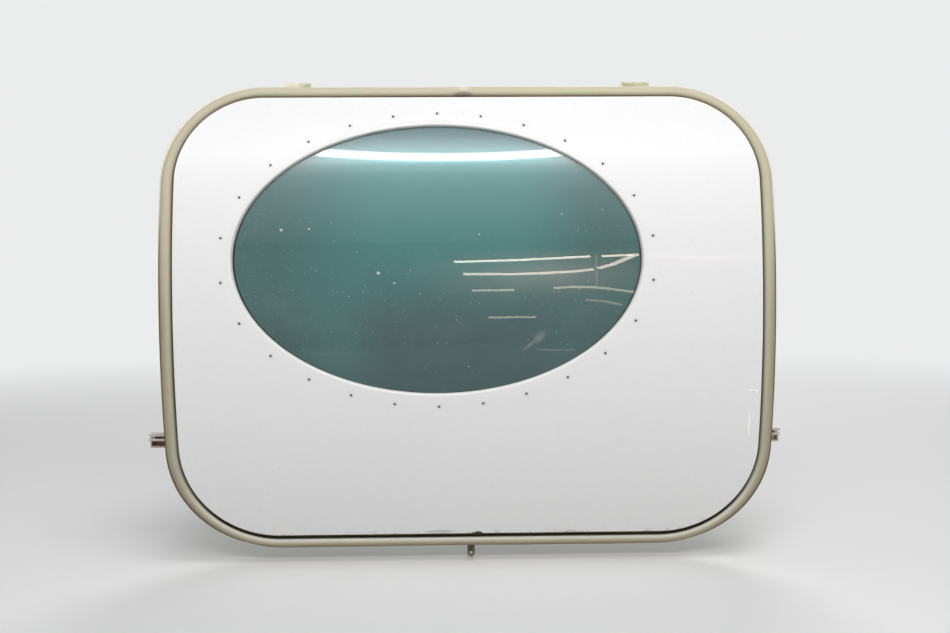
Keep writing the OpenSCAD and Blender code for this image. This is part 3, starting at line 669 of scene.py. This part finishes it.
def new_piece(name, verts, faces, materials, sharp=35.0):
    """A mesh object at the origin with outward faces, smooth but for its sharp edges."""
    mesh = bpy.data.meshes.new(name)
    mesh.from_pydata(verts, [], faces)
    shape = bmesh.new()
    shape.from_mesh(mesh)
    bmesh.ops.recalc_face_normals(shape, faces=shape.faces)
    shape.to_mesh(mesh)
    shape.free()
    mesh.shade_smooth()
    mesh.set_sharp_from_angle(angle=math.radians(sharp))
    for material in materials:
        mesh.materials.append(finish(material))
    return add_object(name, mesh)


def oval_band(name, profile, material):
    """A ring round the oval with a profile of offsets and depths."""
    size = sizes()
    count = 432
    sections = []
    for i in range(count):
        t = 2 * math.pi * i / count
        x, z = oval_at(t, 0.0)
        nx, nz = size.window_b * math.sin(t), size.window_a * math.cos(t)
        far = math.hypot(nx, nz)
        sections.append([on_hull(x + o * nx / far, z + o * nz / far, depth) for o, depth in profile])
    return new_piece(name, *tube_mesh(sections), [material], 40.0)


def settle(piece, slot, *nodes):
    """The piece rides on the hatch and stands for CAD nodes, which are hidden; the slot is not used."""
    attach(piece, "hatch")
    if nodes:
        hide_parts(*nodes)


# Geometry node trees


def tree_with(name, inputs):
    """An empty tree, what it is given and where its geometry goes."""
    tree = bpy.data.node_groups.new(name, "GeometryNodeTree")
    for label, kind in (("Geometry", "Geometry"), *inputs):
        tree.interface.new_socket(label, in_out="INPUT", socket_type="NodeSocket" + kind)
    tree.interface.new_socket("Geometry", in_out="OUTPUT", socket_type="NodeSocketGeometry")
    return tree, tree.nodes.new("NodeGroupInput").outputs, tree.nodes.new("NodeGroupOutput").inputs[0]


def add_tree(piece, name, tree, values):
    """A modifier that runs the tree with values for its named inputs."""
    added = piece.modifiers.new(name, "NODES")
    added.node_group = tree
    for item in tree.interface.items_tree:
        if item.item_type == "SOCKET" and item.in_out == "INPUT" and item.name in values:
            added[item.identifier] = values[item.name]


def flush_head_tree():
    """A low cone stood on the hull's normal at each point."""
    tree, given, end = tree_with("flush_heads", [
        ("Hull Radius", "Float"), ("Foot Radius", "Float"), ("Top Radius", "Float"),
        ("Height", "Float"), ("Sides", "Int"), ("Finish", "Material")])
    place = tree_node(tree, "GeometryNodeInputPosition")
    parts = tree_node(tree, "ShaderNodeSeparateXYZ", {0: place.outputs[0]})
    back = tree_node(tree, "ShaderNodeMath", {0: parts.outputs[1], 1: given["Hull Radius"]},
                     {"operation": "SUBTRACT"})
    normal = tree_node(tree, "ShaderNodeCombineXYZ", {1: back.outputs[0], 2: parts.outputs[2]})
    turn = tree_node(tree, "FunctionNodeAlignRotationToVector", {"Vector": normal.outputs[0]}, {"axis": "Z"})
    cone = tree_node(tree, "GeometryNodeMeshCone",
                     {"Vertices": given["Sides"], "Radius Top": given["Top Radius"],
                      "Radius Bottom": given["Foot Radius"], "Depth": given["Height"]},
                     {"fill_type": "NGON"})
    stood = tree_node(tree, "GeometryNodeInstanceOnPoints",
                      {"Points": given["Geometry"], "Instance": cone.outputs["Mesh"],
                       "Rotation": turn.outputs[0]})
    real = tree_node(tree, "GeometryNodeRealizeInstances", {0: stood.outputs[0]})
    coat = tree_node(tree, "GeometryNodeSetMaterial",
                     {"Geometry": real.outputs[0], "Material": given["Finish"]})
    tree.links.new(coat.outputs[0], end)
    return tree


def smooth_tree():
    """Joins a solid's loose triangles and shades it smooth between its sharp edges."""
    tree, given, end = tree_with("smooth_solid", [("Join Distance", "Float"), ("Sharp Angle", "Float")])
    joined = tree_node(tree, "GeometryNodeMergeByDistance",
                       {"Geometry": given["Geometry"], "Distance": given["Join Distance"]})
    angle = tree_node(tree, "GeometryNodeInputMeshEdgeAngle")
    sharp = tree_node(tree, "FunctionNodeCompare", {0: angle.outputs[0], 1: given["Sharp Angle"]},
                      {"data_type": "FLOAT", "operation": "GREATER_THAN"})
    soft = tree_node(tree, "GeometryNodeSetShadeSmooth",
                     {"Geometry": joined.outputs[0], "Shade Smooth": True}, {"domain": "FACE"})
    edges = tree_node(tree, "GeometryNodeSetShadeSmooth",
                      {"Geometry": soft.outputs[0], "Selection": sharp.outputs[0], "Shade Smooth": False},
                      {"domain": "EDGE"})
    tree.links.new(edges.outputs[0], end)
    return tree


def flush_heads(tree, name, points, foot, top, height, sides, material):
    """One row of like heads, made by the tree and kept as a plain mesh."""
    mesh = bpy.data.meshes.new(name)
    mesh.from_pydata(points, [], [])
    piece = add_object(name, mesh)
    add_tree(piece, "heads", tree, {
        "Hull Radius": sizes().hull_radius, "Foot Radius": foot, "Top Radius": top,
        "Height": height, "Sides": sides, "Finish": finish(material)})
    graph = bpy.context.evaluated_depsgraph_get()
    made = bpy.data.meshes.new_from_object(piece.evaluated_get(graph), depsgraph=graph)
    piece.modifiers.clear()
    piece.data = made
    bpy.data.meshes.remove(mesh)
    if not made.polygons:
        raise RuntimeError("no heads were made for " + name)
    made.shade_smooth()
    made.set_sharp_from_angle(angle=math.radians(12))
    settle(piece, "white_paint")


# Operators


class HATCH_OT_skin(bpy.types.Operator):
    """Curved outer skin with rounded edges, painted outside and primed inside"""

    bl_idname = "hatch.skin"
    bl_label = "Outer skin"

    def execute(self, context):
        size = sizes()
        thick = size.skin_thick
        cut = size.lip_width + 0.0002
        curl = 0.00025
        flat = 0.0006
        bevel = 0.00012
        shoulder = 0.0007
        round_off = [(-curl, thick), (0.0, thick - curl), (0.0, curl), (-0.00007, 0.00007),
                     (-curl, 0.0), (-flat, 0.0)]
        count = 720
        rows = 26
        back_rows = 8
        sections = []
        for i in range(count):
            x, z, nx, nz = edge_at(edge_length(0.0) * i / count, 0.0)
            angle = math.atan2((x - size.window_x) / (size.window_a + cut),
                               (z - size.window_z) / (size.window_b + cut))
            inner, near, hold = (oval_at(angle, cut + more) for more in (0.0, bevel, shoulder))
            out = (x - flat * nx, z - flat * nz)
            section = [on_hull(*between(inner, out, k / back_rows), thick) for k in range(back_rows)]
            section += [on_hull(x + o * nx, z + o * nz, depth) for o, depth in round_off]
            section += [on_hull(*between(out, hold, k / rows), 0.0) for k in range(1, rows + 1)]
            section += [on_hull(*near, 0.0), on_hull(*inner, bevel)]
            sections.append(section)
        piece = new_piece("skin", *tube_mesh(sections), ["white_gloss", "frame_primer"], 60.0)
        around = len(sections[0])
        for index, face in enumerate(piece.data.polygons):
            face.material_index = 1 if index % around < back_rows else 0
        settle(piece, "white_paint", "outer_skin")
        return {"FINISHED"}


class HATCH_OT_lip(bpy.types.Operator):
    """Bevelled lip round the oval"""

    bl_idname = "hatch.lip"
    bl_label = "Window lip"

    def execute(self, context):
        size = sizes()
        width = size.lip_width
        lap = width + 0.00018
        fall = 0.00238
        steps = 16
        profile = [(0.0, size.lip_depth), (width - 0.0001, size.lip_depth), (lap, 0.0006), (lap, 0.00004)]
        profile += [(width * (1 - k / steps), fall * (k / steps) ** 5) for k in range(steps + 1)]
        profile.append((0.0, 0.0029))
        settle(oval_band("lip", profile, "white_gloss"), "white_paint", "window_lip")
        top = size.lip_depth + 0.00005
        foot = size.outer_pane - 0.0001
        wide = size.bead_width
        tuck = 0.0007
        bead = [(tuck, top + 0.00005), (tuck, foot), (-wide, foot), (-wide * 0.9, foot - 0.0003),
                (-wide * 0.5, top + 0.0004), (-wide * 0.15, top + 0.0001), (0.0001, top)]
        settle(oval_band("sealant_bead", bead, "pane_sealant"), "dark_rubber")
        return {"FINISHED"}


class HATCH_OT_panes(bpy.types.Operator):
    """Curved outer and inner panes of tinted acrylic"""

    bl_idname = "hatch.panes"
    bl_label = "Panes"

    def execute(self, context):
        size = sizes()
        count = 288
        rings = 26
        centre = (size.window_x, size.window_z)
        edge = [oval_at(2 * math.pi * i / count, size.pane_edge - 0.0001) for i in range(count)]
        for name, front, thick in (("outer", size.outer_pane, size.outer_thick),
                                   ("inner", size.inner_pane, size.inner_thick)):
            verts = []
            faces = []
            for depth in (front, front + thick):
                first = len(verts)
                verts.append(on_hull(*centre, depth))
                for r in range(1, rings + 1):
                    verts += [on_hull(*between(centre, point, r / rings), depth) for point in edge]
                for i in range(count):
                    k = (i + 1) % count
                    faces.append((first, first + 1 + i, first + 1 + k))
                    for r in range(rings - 1):
                        a = first + 1 + r * count
                        faces.append((a + i, a + count + i, a + count + k, a + k))
            rim = 1 + (rings - 1) * count
            whole = 1 + rings * count
            for i in range(count):
                k = (i + 1) % count
                faces.append((rim + i, rim + k, whole + rim + k, whole + rim + i))
            piece = new_piece(name + "_glazing", verts, faces, [name + "_acrylic"])
            settle(piece, "tinted_acrylic", name + "_pane")
        return {"FINISHED"}


class HATCH_OT_seal(bpy.types.Operator):
    """Bulb seal round the edge, its ends spliced at the top"""

    bl_idname = "hatch.seal"
    bl_label = "Bulb seal"

    def execute(self, context):
        size = sizes()
        radius = size.bulb / 2
        half = size.bulb_width / 2
        middle = size.bulb_gap + half
        whole = edge_length(middle)
        count = 900
        inner_foot = 0.0042
        outer_foot = 0.0052
        foot_thick = 0.0012
        bulb_steps = 21
        splice_dip = 0.13
        splice_reach = 0.0016
        sections = []
        runs = []
        for i in range(count + 1):
            s = whole * i / count
            x, z, nx, nz = edge_at(size.splice_x + s, middle)
            turn = 2 * math.pi * i / count
            near = min(s, whole - s)
            pinch = 1.0 - splice_dip * math.exp(-(near / splice_reach) ** 2)
            swell = 1.0 + 0.012 * math.sin(9 * turn + 0.7) + 0.008 * math.sin(23 * turn + 2.1)
            lean = 0.00028 * math.sin(7 * turn + 1.3) + 0.00016 * math.sin(17 * turn + 0.4)
            fat = pinch * swell
            section = [(-inner_foot, radius), (-inner_foot, radius - foot_thick)]
            for k in range(bulb_steps + 1):
                t = math.radians(220 - 260 * k / bulb_steps)
                aside = lean * (1 + math.sin(t)) / 2
                section.append((half * fat * math.cos(t) + aside, -radius * fat * math.sin(t)))
            section += [(outer_foot, radius - foot_thick), (outer_foot, radius)]
            sections.append([on_hull(x + o * nx, z + o * nz - size.seal_drop, size.bulb_depth + depth)
                             for o, depth in section])
            runs.append(s)
        across = len(sections[0])
        marks = [(s, abs(2 * j / (across - 1) - 1)) for s in runs for j in range(across)]
        piece = new_piece("seal", *tube_mesh(sections, False), ["seal_rubber"], 50.0)
        layer = piece.data.uv_layers.new(name="UVMap")
        for loop in piece.data.loops:
            layer.data[loop.index].uv = marks[loop.vertex_index]
        settle(piece, "tan_rubber", "bulb_seal")
        return {"FINISHED"}


class HATCH_OT_heads(bpy.types.Operator):
    """Flush rivet heads in the skin: a ring round the oval, rows along the edge and over the stiffeners"""

    bl_idname = "hatch.heads"
    bl_label = "Rivet heads"

    def execute(self, context):
        size = sizes()
        out = size.rivet_ring
        ring = [on_hull(*oval_at(t, out), 0.0) for t in oval_steps(size.window_count, out)]
        inset = -0.0086
        whole = edge_length(inset)
        rows = []
        for i in range(size.edge_count):
            x, z = edge_at(whole * (i + 0.5) / size.edge_count, inset)[:2]
            rows.append(on_hull(x, z, 0.0))
        for first, last, count in (((0.2585, -0.209), (0.2585, 0.209), 8),
                                   ((-0.301, -0.124), (0.2195, -0.124), 10),
                                   ((-0.134, -0.201), (0.134, -0.201), 6)):
            rows += [on_hull(*between(first, last, i / (count - 1)), 0.0) for i in range(count)]
        big = size.head_window
        small = size.head_edge
        tree = flush_head_tree()
        flush_heads(tree, "window_seams", ring, big + 0.00028, big + 0.0002, 0.00003, 28, "rivet_seam")
        flush_heads(tree, "window_heads", ring, big, big - 0.0003, 0.00009, 28, "rivet_paint")
        # Near-black discs on the stems: painted shade of the stems' pits, which the skin has no holes for.
        flush_heads(tree, "window_stem_shades", ring, 0.0016, 0.00148, 0.00012, 18, "stem_pit_shade")
        flush_heads(tree, "edge_heads", rows, small + 0.00016, small - 0.00012, 0.00006, 24, "rivet_paint")
        return {"FINISHED"}


class HATCH_OT_metalwork(bpy.types.Operator):
    """Finishes and smooth shading of the solids that stay"""

    bl_idname = "hatch.metalwork"
    bl_label = "Frames and latch"

    def execute(self, context):
        groups = {
            "frame_primer": ("land_frame", "channel_frame", "window_frame", "pane_retainer", "upright",
                             "upper_beam", "lower_beam"),
            "hook_primer": ("hook_left", "hook_right"),
            "lug_shaded_primer": ("eye_lug",),
            "rivet_paint": ("skin_rivets", "window_rivets", "beam_rivets"),
            "gasket_rubber": ("inner_gasket",),
            "pane_sealant": ("outer_gasket",),
            "spacer_teal": ("pane_spacer",),
            "bare_aluminium": ("channel_rivets", "panel_rivets", "hook_rivets", "lug_rivets",
                               "keeper_rivets", "latch_panel", "left_keeper", "right_keeper",
                               "left_bar", "right_bar"),
            "latch_nose": ("left_nose", "right_nose"),
            "plated_steel": ("retainer_screws", "anchor_nuts", "handle_shaft", "shaft_collar", "crank",
                             "crank_pins", "end_washer", "end_screw", "left_nose_pin", "right_nose_pin",
                             "left_nose_rivets", "right_nose_rivets"),
            "bush_bronze": ("shaft_bush",),
            "guide_tan": ("left_guide", "right_guide"),
            "handle_red": ("handle_lever",),
        }
        bevels = {name: width for width, names in (
            (0.0003, ("left_nose", "right_nose", "left_bar", "right_bar", "latch_panel",
                      "left_keeper", "right_keeper")),
            (0.0004, ("hook_left", "hook_right", "eye_lug", "crank", "left_guide", "right_guide")),
            (0.002, ("handle_lever",)),
        ) for name in names}
        tree = smooth_tree()
        smoothing = {"Join Distance": 0.000002, "Sharp Angle": math.radians(32)}
        for material, nodes in groups.items():
            for name in nodes:
                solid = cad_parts[name]
                solid.data.materials.clear()
                solid.data.materials.append(finish(material))
                add_tree(solid, "smooth", tree, smoothing)
                if name in bevels:
                    bevel = solid.modifiers.new("bevel", "BEVEL")
                    bevel.width = bevels[name]
                    bevel.segments = 4 if name == "handle_lever" else 2
                    bevel.limit_method = "ANGLE"
                    bevel.angle_limit = math.radians(40)
                    bevel.harden_normals = True
        return {"FINISHED"}


# Lamps that show in the panes: name, thickness, radiance, points, and where they differ, depth and colour

COOL = (1.0, 0.96, 1.0)
WARM = (1.0, 0.7, 0.6)
LAMP_DEPTH = -2.9
LAMP_PATHS = (
    ("band", 0.09, 12.0,
     ((-0.513, 1.647), (-0.387, 1.609), (-0.212, 1.577), (-0.031, 1.57), (0.151, 1.581),
      (0.283, 1.606), (0.405, 1.637)), -2.04, COOL),
    ("line_a", 0.026, 14.5, ((-0.021, 0.573), (0.252, 0.593), (0.543, 0.634))),
    ("line_b", 0.026, 14.5, ((0.591, 0.636), (0.744, 0.652))),
    ("line_c", 0.03, 10.4,
     ((0.018, 0.416), (0.229, 0.411), (0.37, 0.424), (0.474, 0.441), (0.552, 0.466))),
    ("line_d", 0.03, 11.0, ((0.57, 0.478), (0.632, 0.526), (0.677, 0.585), (0.722, 0.639))),
    ("line_e", 0.026, 6.0, ((0.053, 0.207), (0.224, 0.21))),
    ("line_f", 0.02, 6.2, ((0.118, -0.131), (0.311, -0.131))),
    ("line_g", 0.028, 5.5,
     ((0.385, 0.232), (0.469, 0.244), (0.542, 0.241), (0.624, 0.214), (0.713, 0.175))),
    ("line_h", 0.026, 2.8, ((0.513, 0.081), (0.582, 0.067), (0.663, 0.014))),
    ("line_i", 0.005, 3.0, ((0.181, -0.256), (0.274, -0.262)), -1.25),
    ("line_j", 0.01, 1.1, ((0.566, 0.65), (0.562, 0.25))),
    ("sheen_a", 0.03, 15.0, ((0.79, 0.643), (0.954, 0.613), (1.241, 0.601))),
    ("sheen_b", 0.026, 9.0, ((0.829, 0.082), (1.092, 0.052))),
)

# The tall panel's colour, and how bright it is from its foot to its top

GLOW_TINT = (0.95, 0.945, 0.985)
GLOW_STOPS = ((0.0, 0.02), (0.11, 0.06), (0.22, 0.11), (0.36, 0.17), (0.48, 0.29), (0.56, 0.56),
              (0.6, 0.92), (0.65, 1.0), (0.7, 0.94), (0.74, 0.78), (0.84, 0.48), (1.0, 0.34))


class HATCH_OT_stage(bpy.types.Operator):
    """Pale floor and background, soft lamps and the camera"""

    bl_idname = "hatch.stage"
    bl_label = "Stage"

    def lamp(self, name, place, aim, width, height, power, colour=(1.0, 1.0, 1.0)):
        data = bpy.data.lights.new(name, "AREA")
        data.shape = "RECTANGLE"
        data.size = width
        data.size_y = height
        data.energy = power
        data.color = colour
        body = add_object(name, data)
        look = (Vector(aim) - Vector(place)).normalized()
        turn = look.to_track_quat("-Z", "Y").to_matrix().to_4x4()
        body.matrix_world = Matrix.Translation(Vector(place)) @ turn
        body.visible_camera = False
        return body

    def tube(self, name, start, end, thick, radiance, colour):
        """Thin lamp between two points, seen as a line in the gloss of the panes."""
        a = Vector(start)
        b = Vector(end)
        run = b - a
        middle = (a + b) / 2
        face = (Vector((0.0, 0.0, 0.06)) - middle).normalized()
        side = face.cross(run).normalized()
        face = run.cross(side).normalized()
        body = self.lamp(name, middle, middle + face, run.length, thick, 1.0, colour)
        axis = run.normalized()
        turn = Matrix((axis, side, -face)).transposed()
        if turn.determinant() < 0:
            turn = Matrix((axis, -side, -face)).transposed()
        body.matrix_world = Matrix.Translation(middle) @ turn.to_4x4()
        body.data.energy = radiance * math.pi * run.length * thick

    def path(self, name, thick, radiance, points, y=LAMP_DEPTH, colour=WARM):
        """Thin lamps end to end along points of an upright plane."""
        for i, (a, b) in enumerate(zip(points, points[1:])):
            self.tube(name + "_" + str(i), (a[0], y, a[1]), (b[0], y, b[1]), thick, radiance, colour)

    def panel(self, name, middle, width, height, colour=(1.0, 1.0, 1.0)):
        """Lamp that faces the hatch, ready for nodes of its own, and the place on its face."""
        aim = (middle[0], 0.0, middle[2])
        body = self.lamp(name, middle, aim, width, height, math.pi * width * height, colour)
        f = Finish(name, body.data, "OutputLight")
        return f, f.node("NewGeometry", output="Parametric")

    def glow(self, name, middle, width, height, strength):
        """Tall soft panel, brightest in its upper part, that fades in the panes from the top down."""
        f, spot = self.panel(name, middle, width, height)
        fade = f.node("ValToRGB", {0: f.split(spot)[1]})
        marks = fade.socket.node.color_ramp.elements
        while len(marks) < len(GLOW_STOPS):
            marks.new(0.5)
        for mark, (place, level) in zip(marks, GLOW_STOPS):
            mark.position = place
            mark.color = (*scaled(GLOW_TINT, level, level, level), 1.0)
        f.surface("Emission", {"Color": fade, "Strength": strength})

    def haze(self, name, middle, width, height, strength, colour):
        """Faint round patch of light, soft to its rim, that lifts the gloss behind the bright lines."""
        f, spot = self.panel(name, middle, width, height, colour)
        centred = f.node("Mapping",
                         {"Vector": spot, "Location": (-1.0, -1.0, 0.0), "Scale": (2.0, 2.0, 0.0)})
        fade = f.node("TexGradient", {0: centred}, {"gradient_type": "QUADRATIC_SPHERE"}, "Fac")
        f.surface("Emission", {"Strength": fade * strength})

    def floor(self):
        level = CAD_BOX[0][2] - 0.0004
        reach = 14.0
        f = Finish("pale_floor")
        f.locate()
        far = (f.axes[0] * f.axes[0] + f.axes[1] * f.axes[1]) ** 0.5
        grain = f.noise(30.0, 3.0)
        pale = colours().floor
        seen = f.seen()
        colour = f.mix(grain * 0.25, pale, scaled(pale, 0.97, 0.97, 0.97))
        colour = f.mix(seen, scaled(pale, 0.84, 0.84, 0.84), colour)
        ground = f.node("BsdfPrincipled",
                        {"Base Color": colour, "Roughness": 0.75, "Specular IOR Level": 0.2})
        glow = f.node("Emission", {"Color": colours().backdrop})
        share = f.ease(far, 0.9, 3.2) * seen
        f.surface("MixShader", {0: share, 1: ground, 2: glow})
        mesh = bpy.data.meshes.new("floor")
        corners = [(x * reach, y * reach, level) for x, y in ((-1, -1), (1, -1), (1, 1), (-1, 1))]
        mesh.from_pydata(corners, [], [(0, 1, 2, 3)])
        mesh.materials.append(f.owner)
        add_object("floor", mesh)

    def world(self):
        studio = bpy.data.worlds.new("studio")
        bpy.context.scene.world = studio
        f = Finish("studio", studio, "OutputWorld")
        fill = f.node("Background", {"Color": (0.98, 1.0, 0.98), "Strength": 0.228})
        shown = f.node("Background", {"Color": colours().backdrop})
        f.surface("MixShader", {0: f.seen(), 1: fill, 2: shown})

    def execute(self, context):
        scene = bpy.context.scene
        scene.view_settings.view_transform = "Standard"
        self.world()
        self.floor()
        self.lamp("key", (0.35, -1.15, 2.6), (0.0, 0.0, 0.05), 1.5, 0.9, 32.0)
        self.lamp("rear", (0.5, 2.2, 1.8), (0.0, 0.1, 0.0), 1.6, 1.2, 30.0)
        self.glow("sky", (-0.06, -2.0, 1.35), 2.3, 1.5, 9.0)
        self.haze("haze", (0.36, -2.95, 0.42), 1.4, 1.0, 2.8, (1.0, 0.5, 0.4))
        for lamp_path in LAMP_PATHS:
            self.path(*lamp_path)
        data = bpy.data.cameras.new("camera")
        data.sensor_fit = "HORIZONTAL"
        data.sensor_width = 36.0
        data.lens = 37.895
        data.clip_start = 0.05
        data.clip_end = 60.0
        camera = add_object("camera", data)
        right = Vector((0.9997742, -0.02013064, -0.00680504))
        up = Vector((0.00778257, 0.04888631, 0.99877403))
        look = Vector((0.01977329, 0.99860147, -0.04903194))
        turn = Matrix((right, up, -look)).transposed().to_4x4()
        camera.matrix_world = Matrix.Translation((-0.016402, -1.149856, 0.05973)) @ turn
        scene.camera = camera
        return {"FINISHED"}


class HATCH_PT_panel(bpy.types.Panel):
    """Lists the hatch's pieces in the order they are made"""

    bl_idname = "HATCH_PT_panel"
    bl_label = "Cabin hatch"
    bl_space_type = "VIEW_3D"
    bl_region_type = "UI"
    bl_category = "Hatch"

    def draw(self, context):
        for step in STEPS:
            self.layout.operator(step.bl_idname)
        for group in (context.scene.hatch_sizes, context.scene.hatch_colours):
            box = self.layout.box()
            for key in group.__annotations__:
                box.prop(group, key)


STEPS = (HATCH_OT_skin, HATCH_OT_lip, HATCH_OT_panes, HATCH_OT_seal, HATCH_OT_heads, HATCH_OT_metalwork,
         HATCH_OT_stage)
CLASSES = (HatchSizes, HatchColours, *STEPS, HATCH_PT_panel)


def register():
    for cls in CLASSES:
        bpy.utils.register_class(cls)
    bpy.types.Scene.hatch_sizes = PointerProperty(type=HatchSizes)
    bpy.types.Scene.hatch_colours = PointerProperty(type=HatchColours)


def unregister():
    del bpy.types.Scene.hatch_colours
    del bpy.types.Scene.hatch_sizes
    for cls in reversed(CLASSES):
        bpy.utils.unregister_class(cls)


def main():
    register()
    bpy.ops.hatch.skin()
    bpy.ops.hatch.lip()
    bpy.ops.hatch.panes()
    bpy.ops.hatch.seal()
    bpy.ops.hatch.heads()
    bpy.ops.hatch.metalwork()
    bpy.ops.hatch.stage()


if __name__ == "__main__":
    main()
